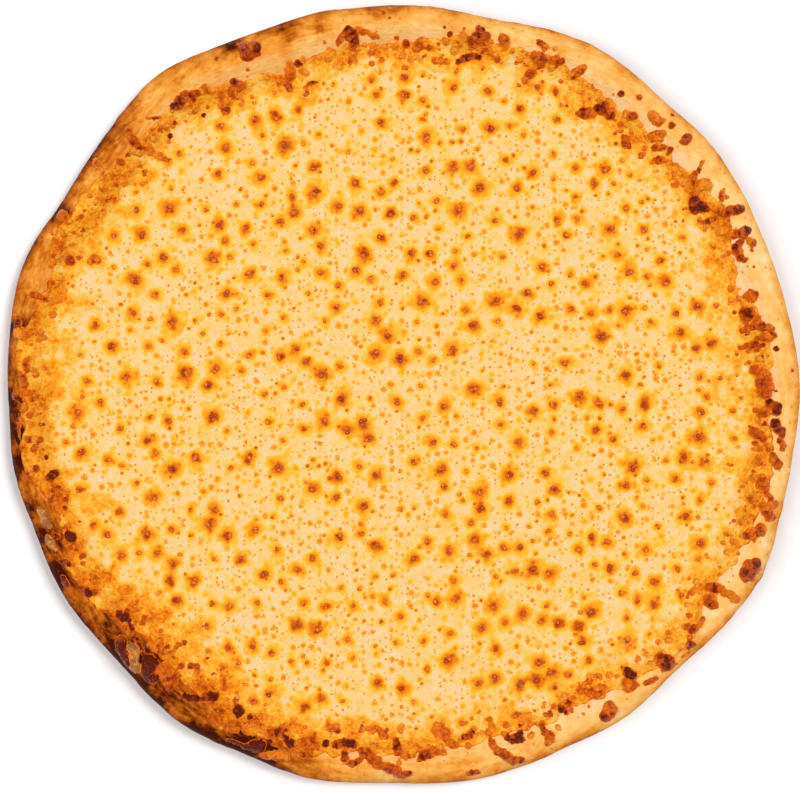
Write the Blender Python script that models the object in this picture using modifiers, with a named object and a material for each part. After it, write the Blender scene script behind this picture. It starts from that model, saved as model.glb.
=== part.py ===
# A round cheese pizza, about 305 mm across: a baked dough base with an uneven raised rim,
# one melted layer of cheese with blisters and browned crags of cheese along the rim, and
# three browned drops of cheese that lie alone on the rim.
# Metres, +Z up. The flat underside lies on z = 0, and the object's box is centred on the
# origin. Seen from above, angles run anticlockwise from +X, and an inset is a distance
# inwards from the outline.

import math

import bmesh
import bpy
import numpy as np
from mathutils import Matrix, Vector
from mathutils.bvhtree import BVHTree

# Driving dimensions, in metres
PIZZA_RADIUS = 0.1524
BASE_THICKNESS = 0.0050
CHEESE_THICKNESS = 0.0034
CREST_HEIGHT = 0.0142
CREST_INSET = 0.0078
BASIN_INSET = 0.0215
WAIST_HEIGHT = 0.0058
FOOT_INSET = 0.0048
EDGE_THICKNESS = 0.0013
CHEESE_SWELL = 0.00035
CHEESE_SINK = 0.0010
GAP = 0.0003
MM = 0.001

# Share of the cheese's radius where it starts to thin towards its edge
THINS_FROM = 0.86

# How finely the round pieces are divided
SEGMENTS = 90
CRAG_SIDES = 8
CRAG_RINGS = 5
DOME_SIDES = 7
DOME_RINGS = 4

# Outline: bulge beyond the mean radius, in mm, by angle in degrees
OUTLINE_BULGES = (
    (0, 1.0), (9, 0.2), (20, -0.5), (33, 0.6), (40, 0.9), (48, -0.3), (61, 1.4), (68, -0.4),
    (77, -3.0), (89, -1.5), (96, -2.1), (103, -1.1), (111, -1.5), (117, -0.2), (126, 3.0),
    (135, 1.4), (142, -0.6), (151, -0.8), (157, 1.5), (163, 2.5), (173, 1.0), (184, 0.1),
    (190, 0.5), (201, -0.8), (214, -0.1), (221, -1.6), (236, 0.9), (247, -0.4), (256, 0.2),
    (268, -2.3), (280, -0.9), (296, -1.8), (306, -0.8), (316, -2.0), (325, 1.0), (335, 2.9),
    (342, 1.2), (350, 0.2))

# Edge of the cheese: inset from the outline, in mm, by angle in degrees
CHEESE_INSETS = (
    (0, 12.7), (10, 10.5), (18, 15.5), (28, 10.5), (42, 14.5), (58, 13.5), (70, 11.0),
    (80, 9.8), (90, 14.0), (102, 15.5), (111, 17.5), (122, 15.2), (134, 14.0),
    (143, 11.0), (153, 5.2), (162, 11.0), (168, 9.5), (175, 5.0), (182, 7.5),
    (190, 5.0), (199, 11.0), (209, 8.0), (219, 13.0), (228, 15.0), (240, 12.0),
    (250, 8.5), (260, 12.3), (270, 12.0), (281, 14.5), (292, 13.8), (302, 13.0),
    (311, 8.5), (318, 6.5), (328, 14.5), (340, 10.0), (350, 8.5))

# Rim height over its mean, in mm, and the rim's width as a share of its mean
CREST_CHANGES = ((0, 0.4), (35, -0.6), (70, -0.9), (100, 0.9), (135, 1.2), (158, -0.6),
                 (180, -1.0), (215, 0.3), (245, 0.8), (275, 0.5), (318, -0.8), (335, 0.8))
RIM_WIDTHS = ((0, 0.95), (25, 1.05), (60, 0.95), (85, 0.88), (112, 1.15), (140, 1.08),
              (155, 0.90), (185, 0.88), (225, 1.10), (250, 0.92), (285, 1.08), (318, 0.88),
              (332, 1.10))

# Crags of browned cheese at the edge of the cheese. Each has its angle, its inset in mm,
# its length and width in mm, and its turn from the run of the rim in degrees
CHEESE_CRAGS = (
    (2, 15, 14.5, 5, 15), (8, 17.5, 9.5, 2.5, 90), (9, 11.5, 8, 3.5, -85), (10.5, 12, 8.5, 3, 70),
    (11, 16.5, 8, 3, -70), (13, 16.5, 5.5, 4.5, 0), (16, 13.5, 5.5, 4, -80),
    (25.5, 9, 8, 3.5, 85), (29.5, 10.5, 8.5, 3.5, 80), (29.5, 16.5, 8, 2.5, 80),
    (32.5, 18, 8, 5, 20), (35, 13, 6.5, 4.5, 65), (36.5, 14, 8.5, 2.5, -45),
    (45.5, 13.5, 7.5, 3.5, 40), (48.5, 22, 6.5, 3.5, -30), (54.5, 18.5, 8, 5, 5),
    (57, 24.5, 7.5, 4.5, 35), (61.5, 12.5, 7.5, 3.5, 70), (68, 13, 8, 4.5, 5),
    (68.5, 20, 6.5, 3.5, 70), (78, 10, 9.5, 4.5, 30), (79, 17, 10, 3, 25),
    (86.5, 16, 7.5, 3, -15), (98, 13, 8, 4.5, -70), (106.5, 27, 6, 3.5, 10),
    (118, 17.5, 6, 4, -50), (121.5, 23, 8, 4, 65), (126.5, 15, 13.5, 4.5, -5),
    (136.5, 12, 11, 3, 80), (152, 6, 6, 3.5, 75), (156.5, 24.5, 7, 3, -80),
    (165, 10, 7.5, 3, -80), (171, 6.5, 7.5, 4.5, 85), (193, 14.5, 5.5, 3, -70),
    (203, 13, 5, 3.5, 0), (212, 10.5, 7.5, 3, 45), (218.5, 14.5, 7, 3.5, 5),
    (235.5, 13, 9.5, 2.5, 20), (237.5, 16, 6.5, 3.5, 15), (249.5, 13.5, 7, 3.5, 15),
    (251.5, 13, 8, 3, -35), (254, 13.5, 9, 3.5, 45), (260.5, 15.5, 10, 3, 10),
    (266, 10.5, 12, 3.5, -30), (274, 12.5, 10, 3.5, 15), (276.5, 20.5, 8, 4.5, -35),
    (278, 16, 7, 3, -35), (284.5, 13, 7.5, 3, -75), (288, 13.5, 8.5, 3, -25),
    (298, 15, 6, 3, 80), (308, 10, 6, 4, 65), (314.5, 7, 8, 5, -90), (326, 12.5, 6, 4, 55),
    (338.5, 10, 9.5, 4.5, -45), (343, 7.5, 8, 3.5, -70), (346, 11, 7, 3.5, 50),
    (350, 7, 7.5, 3.5, 45), (353.5, 15.5, 6.5, 4, 65), (358, 11.5, 7.5, 4.5, 35))

# Crumbs and strands of browned cheese that lie on the bare rim, listed in the same way
RIM_CRUMBS = (
    (47.5, 9, 8, 4.5, 15), (203, 5.5, 8, 3, 15), (222.5, 6, 13, 4.5, -25), (227.5, 9, 11.5, 6, -30),
    (229.5, 10.3, 11.5, 6, -10), (240, 9, 7, 3, -20), (247, 5.3, 8.5, 4.5, 25), (250, 5, 7.5, 3.5, 20),
    (270, 5, 7.5, 2.5, 5), (286.5, 6.5, 8.5, 3.5, -50), (328.5, 6.5, 7.5, 3, -90),
    (355, 6.5, 8, 3.5, 30))

# Drops of browned cheese alone on the rim, listed in the same way under their nodes' names
LONE_DROPS = {
    "browned_drop_top": (114, 8.0, 8.5, 6.5, 10),
    "browned_drop_right": (333, 6.8, 10.5, 6.5, -15),
    "browned_drop_bottom": (303, 6.6, 8.0, 5.5, 10),
}

# Rise of a bead of browned cheese, as a share of its width, and at most this many mm. Its
# middle lies this share of its rise below the surface
BEAD_RISE_SHARE = 0.42
BEAD_RISE_LIMIT = 2.6
BEAD_SINK = 0.15

# The largest blisters of the cheese
BLISTER_COUNT = 60
BLISTER_FIELD = 0.128
BLISTER_SCATTER = 0.005
BLISTER_WIDTH = 0.0056
BLISTER_RISE = 0.0009
GOLDEN_TURN = math.pi * (3 - math.sqrt(5))
SEED = 11

# Colour and roughness of each finish
FINISHES = {
    "baked_dough": ((0.72, 0.42, 0.17), 0.75),
    "melted_cheese": ((0.94, 0.52, 0.13), 0.38),
    "browned_cheese": ((0.30, 0.06, 0.012), 0.35),
}


def smooth_step(low, high, value):
    """0 below low, 1 above high, and an even S between them."""
    share = np.clip((value - low) / (high - low), 0.0, 1.0)
    return share * share * (3 - 2 * share)


def around(knots, angle):
    """A closed smooth curve through knots of (degrees, value), read at an angle in radians."""
    turn = 2 * math.pi
    at = np.radians([knot[0] for knot in knots])
    value = np.array([knot[1] for knot in knots], float)
    at = np.concatenate((at[-2:] - turn, at, at[:2] + turn))
    value = np.concatenate((value[-2:], value, value[:2]))
    slope = np.gradient(value, at)
    angle = np.mod(angle, turn)
    i = np.clip(np.searchsorted(at, angle, side="right") - 1, 0, len(at) - 2)
    span = at[i + 1] - at[i]
    t = (angle - at[i]) / span
    start = (2 * t ** 3 - 3 * t ** 2 + 1) * value[i] + (t ** 3 - 2 * t ** 2 + t) * span * slope[i]
    end = (3 * t ** 2 - 2 * t ** 3) * value[i + 1] + (t ** 3 - t ** 2) * span * slope[i + 1]
    return start + end


def outline(angle):
    """Radius of the pizza's outer edge."""
    wobble = 0.25 * np.sin(17 * angle + 0.6) * np.sin(6 * angle + 1.0)
    return PIZZA_RADIUS + MM * (around(OUTLINE_BULGES, angle) + wobble)


def crest(angle):
    """Height of the rim's crest."""
    swell = 0.45 * np.sin(11 * angle + 1.0) * np.sin(5 * angle + 0.4)
    return CREST_HEIGHT + MM * (around(CREST_CHANGES, angle) + swell)


def dough_top(radius, angle):
    """Height of the dough's upper face: a flat basin, the rim's inner slope and its outer arc."""
    inset = (outline(angle) - radius) / around(RIM_WIDTHS, angle)
    slope = smooth_step(BASIN_INSET, CREST_INSET, inset)
    inner = BASE_THICKNESS + (crest(angle) - BASE_THICKNESS) * slope
    across = np.clip((CREST_INSET - inset) / CREST_INSET, 0.0, 1.0)
    outer = WAIST_HEIGHT + (crest(angle) - WAIST_HEIGHT) * np.sqrt(1 - across ** 2)
    return np.where(inset > CREST_INSET, inner, outer)


def ripple(x, y):
    """Low swells of the melted cheese, between about -1 and 1."""
    long_swell = np.sin(95 * x + 40 * y + 0.7) * np.cos(70 * y - 30 * x + 2.1)
    short_swell = np.sin(210 * x - 130 * y) * np.sin(180 * y + 110 * x + 1.3)
    return 0.6 * long_swell + 0.4 * short_swell


def clear_scene():
    for obj in list(bpy.data.objects):
        bpy.data.objects.remove(obj, do_unlink=True)
    for collection in list(bpy.data.collections):
        bpy.data.collections.remove(collection)


def material(name):
    colour, roughness = FINISHES[name]
    mat = bpy.data.materials.new(name)
    mat.use_nodes = True
    shader = mat.node_tree.nodes["Principled BSDF"]
    shader.inputs["Base Color"].default_value = (*colour, 1.0)
    shader.inputs["Roughness"].default_value = roughness
    shader.inputs["Metallic"].default_value = 0.0
    return mat


def final_mesh(obj, name):
    """The mesh that an object's modifiers give, as a mesh of its own."""
    evaluated = obj.evaluated_get(bpy.context.evaluated_depsgraph_get())
    mesh = bpy.data.meshes.new_from_object(evaluated)
    mesh.name = name
    return mesh


def turned(name, profile, collection):
    """A closed solid from a profile of (radius, height) that starts and ends on the axis."""
    mesh = bpy.data.meshes.new(name + "_profile")
    mesh.from_pydata([(r, 0.0, z) for r, z in profile],
                     [(i, i + 1) for i in range(len(profile) - 1)], [])
    obj = bpy.data.objects.new(name, mesh)
    collection.objects.link(obj)
    screw = obj.modifiers.new("turn", "SCREW")
    screw.steps = SEGMENTS
    screw.render_steps = SEGMENTS
    screw.use_merge_vertices = True
    screw.merge_threshold = 0.00001
    bpy.context.view_layer.update()
    solid = final_mesh(obj, name)
    obj.modifiers.clear()
    obj.data = solid
    bpy.data.meshes.remove(mesh)
    return obj


def reshape(obj, move):
    """Moves every vertex: move takes and gives arrays of radius, angle and height."""
    mesh = obj.data
    points = np.empty(len(mesh.vertices) * 3, np.float32)
    mesh.vertices.foreach_get("co", points)
    points = points.reshape(-1, 3).astype(float)
    radius = np.hypot(points[:, 0], points[:, 1])
    angle = np.arctan2(points[:, 1], points[:, 0])
    radius, angle, height = move(radius, angle, points[:, 2])
    moved = np.stack((radius * np.cos(angle), radius * np.sin(angle), height), axis=1)
    mesh.vertices.foreach_set("co", moved.astype(np.float32).ravel())
    mesh.update()


def crust_profile():
    """Nominal section of the dough, from the axis over the rim to the flat underside."""
    profile = [(radius, BASE_THICKNESS) for radius in (0.0, 0.045, 0.090)]
    for inset in (0.0300, 0.0215, 0.0185, 0.0160, 0.0135, 0.0110, CREST_INSET):
        profile.append((PIZZA_RADIUS - inset, BASE_THICKNESS))
    for degrees in (25, 48, 68, 90):
        inset = CREST_INSET * (1 - math.sin(math.radians(degrees)))
        profile.append((PIZZA_RADIUS - inset, BASE_THICKNESS))
    for degrees in (30, 60, 90):
        inset = FOOT_INSET * (1 - math.cos(math.radians(degrees)))
        height = WAIST_HEIGHT * (1 - math.sin(math.radians(degrees)))
        profile.append((PIZZA_RADIUS - inset, height))
    return profile + [(0.095, 0.0), (0.0, 0.0)]


def crust_form(radius, angle, height):
    """Carries the turned dough out to the uneven outline and up over the rim."""
    inset = PIZZA_RADIUS - radius
    near_rim = 1 - smooth_step(BASIN_INSET, 4 * BASIN_INSET, inset)
    width = 1 + (around(RIM_WIDTHS, angle) - 1) * near_rim
    stretch = (outline(angle) - PIZZA_RADIUS) * near_rim
    new_radius = np.where(radius > 0, PIZZA_RADIUS - inset * width + stretch, 0.0)
    top = height > BASE_THICKNESS - GAP
    waist = (inset < GAP) & top
    new_height = np.where(top, dough_top(new_radius, angle), height)
    return new_radius, angle, np.where(waist, WAIST_HEIGHT, new_height)


def cheese_profile():
    """Nominal section of the cheese, where radius 1 is its edge, height 2 its upper face,
    1 its lip and 0 its back."""
    upper = [(share, 2.0) for share in
             (0.0, 0.14, 0.28, 0.42, 0.56, 0.69, 0.80, 0.88, 0.93, 0.97, 0.992)]
    back = [(share, 0.0) for share in (0.99, 0.93, 0.86, 0.5, 0.0)]
    return upper + [(1.0, 1.0)] + back


def cheese_form(share, angle, level):
    """Lays the turned cheese on the dough, thin at its edge and sunk a little at its back."""
    edge = outline(angle) - MM * around(CHEESE_INSETS, angle)
    radius = share * edge
    x = radius * np.cos(angle)
    y = radius * np.sin(angle)
    thin = smooth_step(THINS_FROM, 1.0, share)
    thickness = CHEESE_THICKNESS + (EDGE_THICKNESS - CHEESE_THICKNESS) * thin
    thickness = thickness + CHEESE_SWELL * ripple(x, y) * (1 - thin)
    lift = np.where(level > 0.5, level * thickness / 2, -CHEESE_SINK)
    return radius, angle, dough_top(radius, angle) + lift


def surface_of(*objects):
    bm = bmesh.new()
    for obj in objects:
        bm.from_mesh(obj.data)
    tree = BVHTree.FromBMesh(bm)
    bm.free()
    return tree


def bead_mesh(name, sides, rings, chance):
    """A lumpy, slightly bent ball of radius 1."""
    bm = bmesh.new()
    bmesh.ops.create_uvsphere(bm, u_segments=sides, v_segments=rings, radius=1.0)
    phase = chance.uniform(0.0, 6.0, 2)
    bend = chance.uniform(-0.25, 0.25)
    for vert in bm.verts:
        p = vert.co
        swell = 1 + 0.13 * math.sin(3 * p.x + phase[0]) + 0.10 * math.sin(4 * p.y + phase[1])
        vert.co = Vector((p.x * swell, p.y * swell + bend * (p.x * p.x - 0.4), p.z * swell))
    mesh = bpy.data.meshes.new(name)
    bm.to_mesh(mesh)
    bm.free()
    return mesh


def lay_bead(mesh, surface, place, size, turn, collection):
    """Sizes a bead by its length, width and rise, and sinks it a little in a surface."""
    length, width, rise = size
    above = Vector((*place, 10 * CREST_HEIGHT))
    spot, normal = surface.ray_cast(above, Vector((0.0, 0.0, -1.0)))[:2]
    lean = Vector((0.0, 0.0, 1.0)).rotation_difference(normal).to_matrix().to_4x4()
    mesh.transform(Matrix.Translation(spot - normal * BEAD_SINK * rise) @ lean
                   @ Matrix.Rotation(turn, 4, "Z")
                   @ Matrix.Diagonal((length / 2, width / 2, rise, 1.0)))
    obj = bpy.data.objects.new(mesh.name, mesh)
    collection.objects.link(obj)
    return obj


def rim_bead(name, row, surface, chance, collection):
    """A bead at a row's angle, inset, length, width and turn from the run of the rim."""
    degrees, inset, length, width, turn = row
    angle = math.radians(degrees)
    radius = float(outline(angle)) - MM * inset
    place = (radius * math.cos(angle), radius * math.sin(angle))
    along = angle + math.pi / 2 + math.radians(turn)
    size = (MM * length, MM * width, MM * min(BEAD_RISE_LIMIT, BEAD_RISE_SHARE * width))
    mesh = bead_mesh(name, CRAG_SIDES, CRAG_RINGS, chance)
    return lay_bead(mesh, surface, place, size, along, collection)


def fuse(obj, pieces):
    """Joins all of a collection's solids to an object by one union, and empties the collection."""
    union = obj.modifiers.new("fuse", "BOOLEAN")
    union.operation = "UNION"
    union.operand_type = "COLLECTION"
    union.collection = pieces
    union.solver = "MANIFOLD"
    bpy.context.view_layer.update()
    joined = final_mesh(obj, obj.name)
    obj.modifiers.clear()
    obj.data = joined
    for piece in list(pieces.objects):
        bpy.data.objects.remove(piece, do_unlink=True)


def cut_clear(obj, cutter):
    """Cuts away what would sink into the cutter."""
    cut = obj.modifiers.new("cut", "BOOLEAN")
    cut.operation = "DIFFERENCE"
    cut.object = cutter
    cut.solver = "EXACT"
    bpy.context.view_layer.update()
    left = final_mesh(obj, obj.name)
    obj.modifiers.clear()
    obj.data = left


def swollen_copy(obj, name, collection):
    """A guide a gap larger than an object all round, which its neighbours are cut by."""
    guide = bpy.data.objects.new(name, obj.data.copy())
    collection.objects.link(guide)
    swell = guide.modifiers.new("gap", "DISPLACE")
    swell.direction = "NORMAL"
    swell.mid_level = 0.0
    swell.strength = GAP
    guide.hide_render = True
    guide.display_type = "WIRE"
    return guide


def add_blisters(surface, chance, pieces):
    """Low domes spread over the cheese on a sunflower spiral with some scatter."""
    for i in range(BLISTER_COUNT):
        radius = BLISTER_FIELD * math.sqrt((i + 0.6) / BLISTER_COUNT)
        angle = i * GOLDEN_TURN
        shift = chance.uniform(-BLISTER_SCATTER, BLISTER_SCATTER, 2)
        place = (radius * math.cos(angle) + shift[0], radius * math.sin(angle) + shift[1])
        width = BLISTER_WIDTH * chance.uniform(0.8, 1.25)
        rise = BLISTER_RISE * chance.uniform(0.8, 1.3)
        size = (width, width * chance.uniform(0.8, 1.0), rise)
        mesh = bead_mesh(f"blister_{i}", DOME_SIDES, DOME_RINGS, chance)
        lay_bead(mesh, surface, place, size, chance.uniform(0.0, math.pi), pieces)


def finish(obj, mat, shift):
    mesh = obj.data
    mesh.transform(Matrix.Translation(shift))
    mesh.materials.clear()
    mesh.materials.append(mat)
    mesh.shade_smooth()
    mesh.set_sharp_from_angle(angle=math.radians(50))


def main():
    clear_scene()
    scene = bpy.context.scene.collection
    pizza = bpy.data.collections.new("cheese_pizza")
    guides = bpy.data.collections.new("guides")
    pieces = bpy.data.collections.new("pieces")
    for collection in (pizza, guides, pieces):
        scene.children.link(collection)
    chance = np.random.default_rng(SEED)

    crust = turned("crust", crust_profile(), pizza)
    reshape(crust, crust_form)
    cutter = swollen_copy(crust, "crust_guide", guides)

    cheese = turned("cheese", cheese_profile(), pizza)
    reshape(cheese, cheese_form)
    both = surface_of(crust, cheese)
    add_blisters(both, chance, pieces)
    for i, row in enumerate(CHEESE_CRAGS):
        rim_bead(f"crag_{i}", row, both, chance, pieces)
    fuse(cheese, pieces)
    cut_clear(cheese, cutter)

    bare_rim = surface_of(crust)
    drops = []
    for name, row in LONE_DROPS.items():
        drop = rim_bead(name, row, bare_rim, chance, pizza)
        cut_clear(drop, cutter)
        drops.append(drop)
    for i, row in enumerate(RIM_CRUMBS):
        rim_bead(f"crumb_{i}", row, bare_rim, chance, pieces)
    fuse(crust, pieces)

    corners = [Vector(corner) for corner in crust.bound_box]
    middle = (corners[0] + corners[6]) / 2
    shift = Vector((-middle.x, -middle.y, 0.0))
    finish(crust, material("baked_dough"), shift)
    finish(cheese, material("melted_cheese"), shift)
    browned = material("browned_cheese")
    for drop in drops:
        finish(drop, browned, shift)
    bpy.data.collections.remove(pieces)


main()
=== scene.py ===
import math

import bpy
import numpy as np
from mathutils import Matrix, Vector


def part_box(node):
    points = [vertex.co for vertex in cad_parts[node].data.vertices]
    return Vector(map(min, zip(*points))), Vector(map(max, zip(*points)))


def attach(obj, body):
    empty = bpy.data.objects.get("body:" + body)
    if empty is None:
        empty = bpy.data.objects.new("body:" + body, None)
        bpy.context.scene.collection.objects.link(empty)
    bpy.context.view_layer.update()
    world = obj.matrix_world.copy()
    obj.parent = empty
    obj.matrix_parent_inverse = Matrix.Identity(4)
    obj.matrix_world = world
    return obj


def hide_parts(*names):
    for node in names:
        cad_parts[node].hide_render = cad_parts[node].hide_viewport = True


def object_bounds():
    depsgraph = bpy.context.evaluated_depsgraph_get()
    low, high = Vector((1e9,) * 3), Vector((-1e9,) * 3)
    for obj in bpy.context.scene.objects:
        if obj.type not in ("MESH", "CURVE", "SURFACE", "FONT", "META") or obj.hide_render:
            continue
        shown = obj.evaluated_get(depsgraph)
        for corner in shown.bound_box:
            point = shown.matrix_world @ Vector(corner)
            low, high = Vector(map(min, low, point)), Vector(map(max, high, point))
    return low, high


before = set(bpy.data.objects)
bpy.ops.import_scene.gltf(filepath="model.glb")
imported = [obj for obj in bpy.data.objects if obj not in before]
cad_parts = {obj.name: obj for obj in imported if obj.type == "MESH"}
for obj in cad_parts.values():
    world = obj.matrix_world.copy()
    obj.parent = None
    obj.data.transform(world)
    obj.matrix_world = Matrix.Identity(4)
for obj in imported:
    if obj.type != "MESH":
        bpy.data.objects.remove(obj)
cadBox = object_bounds()
print("frame loaded, box", [round(v, 4) for corner in cadBox for v in corner])

mm = 0.001

# Sizes of the whole pizza, in metres. Angles are degrees anticlockwise from +X, seen from
# above, and an inset is a distance inwards from the outline
pizza = {
    "radius": 0.1524,
    "baseThickness": 0.0050,
    "crestHeight": 0.0142,
    "crestInset": 0.0078,
    "basinInset": 0.0215,
    "waistHeight": 0.0058,
    "footInset": 0.0048,
    # outline: mm beyond the mean radius
    "bulges": (
        (0, 1), (9, 0.2), (20, -0.5), (33, 0.6), (40, 0.9), (48, -0.3), (61, 1.4), (68, -0.4), (77, -3),
        (89, -1.5), (96, -2.1), (103, -1.1), (111, -1.5), (117, -0.2), (126, 3), (135, 1.4), (142, -0.6),
        (151, -0.8), (157, 1.5), (163, 2.5), (173, 1), (184, 0.1), (190, 0.5), (201, -0.8), (214, -0.1),
        (221, -1.6), (236, 0.9), (247, -0.4), (256, 0.2), (268, -2.3), (280, -0.9), (296, -1.8),
        (306, -0.8), (316, -2), (325, 1), (335, 2.9), (342, 1.2), (350, 0.2)),
    # rim: mm above the mean crest, and its width as a share of the mean
    "crests": (
        (0, 0.4), (35, -0.6), (70, -0.9), (100, 0.9), (135, 1.2), (158, -0.6), (180, -1), (215, 0.3),
        (245, 0.8), (275, 0.5), (318, -0.8), (335, 0.8)),
    "rimWidths": (
        (0, 0.95), (25, 1.05), (60, 0.95), (85, 0.88), (112, 1.15), (140, 1.08), (155, 0.9), (185, 0.88),
        (225, 1.1), (250, 0.92), (285, 1.08), (318, 0.88), (332, 1.1)),
}


def smoothStep(low, high, value):
    # 0 below low, 1 above high, 3t^2 - 2t^3 between them
    t = np.clip((value - low) / (high - low), 0.0, 1.0)
    return t * t * (3 - 2 * t)


def fullTurn(count):
    # so many equal steps of angle round the circle, from 0
    return np.linspace(0, 2 * math.pi, count, endpoint=False)


def polar(radius, angle):
    # x = radius cos(angle) and y = radius sin(angle)
    return radius * np.cos(angle), radius * np.sin(angle)


def around(knots, angle):
    # closed curve through (degrees, value) knots: between two knots it is the cubic that
    # has their values and the mean slopes at them
    turn = 2 * math.pi
    at = np.radians([knot[0] for knot in knots])
    value = np.array([knot[1] for knot in knots], float)
    at = np.concatenate((at[-2:] - turn, at, at[:2] + turn))
    value = np.concatenate((value[-2:], value, value[:2]))
    slope = np.gradient(value, at)
    angle = np.mod(angle, turn)
    i = np.clip(np.searchsorted(at, angle, side="right") - 1, 0, len(at) - 2)
    span = at[i + 1] - at[i]
    t = (angle - at[i]) / span
    start = (2 * t ** 3 - 3 * t ** 2 + 1) * value[i] + (t ** 3 - 2 * t ** 2 + t) * span * slope[i]
    end = (3 * t ** 2 - 2 * t ** 3) * value[i + 1] + (t ** 3 - t ** 2) * span * slope[i + 1]
    return start + end


def softNoise(x, y, z, size, seed):
    # value noise from -1 to 1: random numbers on a cubic lattice of that size, and at a point
    # the mix of its cell's eight corners, weighted by smooth steps on each axis
    cells = 32
    table = np.random.default_rng(seed).uniform(-1, 1, (cells, cells, cells))
    place = np.stack(np.broadcast_arrays(x, y, z), axis=-1) / size + 16 * cells
    cell = np.floor(place).astype(int)
    part = place - cell
    part = part * part * (3 - 2 * part)
    total = np.zeros(place.shape[:-1])
    for corner in np.ndindex(2, 2, 2):
        step = np.array(corner)
        weight = np.prod(np.where(step, part, 1 - part), axis=-1)
        i, j, k = np.moveaxis((cell + step) % cells, -1, 0)
        total += weight * table[i, j, k]
    return total


def outline(angle):
    # radius of the outer edge: the mean, the listed bulges and a small wobble
    wobble = 0.25 * np.sin(17 * angle + 0.6) * np.sin(6 * angle + 1.0)
    return pizza["radius"] + mm * (around(pizza["bulges"], angle) + wobble)


def crest(angle):
    # height of the rim's crest: the mean, the listed changes and a low swell
    swell = 0.45 * np.sin(11 * angle + 1.0) * np.sin(5 * angle + 0.4)
    return pizza["crestHeight"] + mm * (around(pizza["crests"], angle) + swell)


def doughLumps(x, y, z):
    # soft unevenness of baked dough: three sizes of noise, the smaller the lower
    broad = 0.42 * softNoise(x, y, z, 13 * mm, 3)
    middling = 0.24 * softNoise(x, y, z, 5.5 * mm, 4)
    return mm * (broad + middling + 0.10 * softNoise(x, y, z, 2.2 * mm, 5))


def rimSection(inset, angle):
    # height of the smooth dough: a flat basin, an S-shaped slope up to the crest and a quarter
    # ellipse outside it; and how far up the slope it is, from 0 to 1
    base = pizza["baseThickness"]
    waist = pizza["waistHeight"]
    slope = smoothStep(pizza["basinInset"], pizza["crestInset"], inset)
    across = np.clip((pizza["crestInset"] - inset) / pizza["crestInset"], 0.0, 1.0)
    inner = base + (crest(angle) - base) * slope
    outer = waist + (crest(angle) - waist) * np.sqrt(1 - across ** 2)
    return np.where(inset > pizza["crestInset"], inner, outer), slope


def doughTop(x, y):
    # height of the dough's upper face: the section, with lumps that fade in up the slope
    angle = np.arctan2(y, x)
    inset = (outline(angle) - np.hypot(x, y)) / around(pizza["rimWidths"], angle)
    height, slope = rimSection(inset, angle)
    return height + doughLumps(x, y, height) * slope


# The outline's box is centred on the frame's origin and fitted to the CAD crust's box
edgeAngles = fullTurn(3600)
edgeX, edgeY = polar(outline(edgeAngles), edgeAngles)
crustLow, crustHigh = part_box("crust")
fitScale = min((crustHigh.x - crustLow.x) / np.ptp(edgeX), (crustHigh.y - crustLow.y) / np.ptp(edgeY))
fitShift = (-fitScale * (edgeX.min() + edgeX.max()) / 2, -fitScale * (edgeY.min() + edgeY.max()) / 2)
print("outline fitted: scale", round(fitScale, 5), "shift mm", [round(v / mm, 2) for v in fitShift])


def addObject(name, data):
    obj = bpy.data.objects.new(name, data)
    bpy.context.scene.collection.objects.link(obj)
    return obj


def makePiece(name, points, quads, triangles, material, attributes):
    # a mesh object from arrays: points (n, 3), corner numbers, and one float array a point
    # for each attribute, moved from the pizza's own centre to the frame's origin
    place = np.array(points, float)
    place[:, 0] = place[:, 0] * fitScale + fitShift[0]
    place[:, 1] = place[:, 1] * fitScale + fitShift[1]
    mesh = bpy.data.meshes.new(name)
    mesh.vertices.add(len(place))
    mesh.vertices.foreach_set("co", place.astype(np.float32).ravel())
    corners = np.concatenate((quads.ravel(), triangles.ravel())).astype(np.int32)
    sizes = np.concatenate((np.full(len(quads), 4), np.full(len(triangles), 3)))
    mesh.loops.add(len(corners))
    mesh.loops.foreach_set("vertex_index", corners)
    mesh.polygons.add(len(sizes))
    starts = np.concatenate(([0], np.cumsum(sizes)[:-1])).astype(np.int32)
    mesh.polygons.foreach_set("loop_start", starts)
    mesh.update(calc_edges=True)
    mesh.validate()
    mesh.shade_smooth()
    for label, values in attributes.items():
        layer = mesh.attributes.new(label, "FLOAT", "POINT")
        layer.data.foreach_set("value", np.asarray(values, np.float32).ravel())
    mesh.materials.append(material)
    obj = addObject(name, mesh)
    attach(obj, "root")
    print(name, "has", len(quads) * 2 + len(triangles), "triangles")
    return obj


def tubeFaces(rings, sides):
    # faces of rings one after another, each a closed loop of sides points, with a pole
    # point after the last ring for each end: quads between rings, a fan at each pole
    ring = np.arange(rings - 1)[:, None] * sides
    side = np.arange(sides)[None, :]
    after = (side + 1) % sides
    quads = np.stack((ring + side, ring + sides + side, ring + sides + after, ring + after), axis=-1)
    pole = np.full(sides, rings * sides)
    last = (rings - 1) * sides
    startFan = np.stack((pole, side[0], after[0]), axis=-1)
    endFan = np.stack((pole + 1, last + after[0], last + side[0]), axis=-1)
    return quads.reshape(-1, 4), np.concatenate((startFan, endFan))


class Wire:
    # one shader socket: sums with it add Math nodes
    def __init__(self, mat, socket):
        self.mat = mat
        self.socket = socket

    def maths(self, operation, other):
        return self.mat.node("Math", {"operation": operation}, {0: self, 1: other})

    def __add__(self, other):
        return self.maths("ADD", other)

    def __sub__(self, other):
        return self.maths("SUBTRACT", other)

    def __mul__(self, other):
        return self.maths("MULTIPLY", other)


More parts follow.
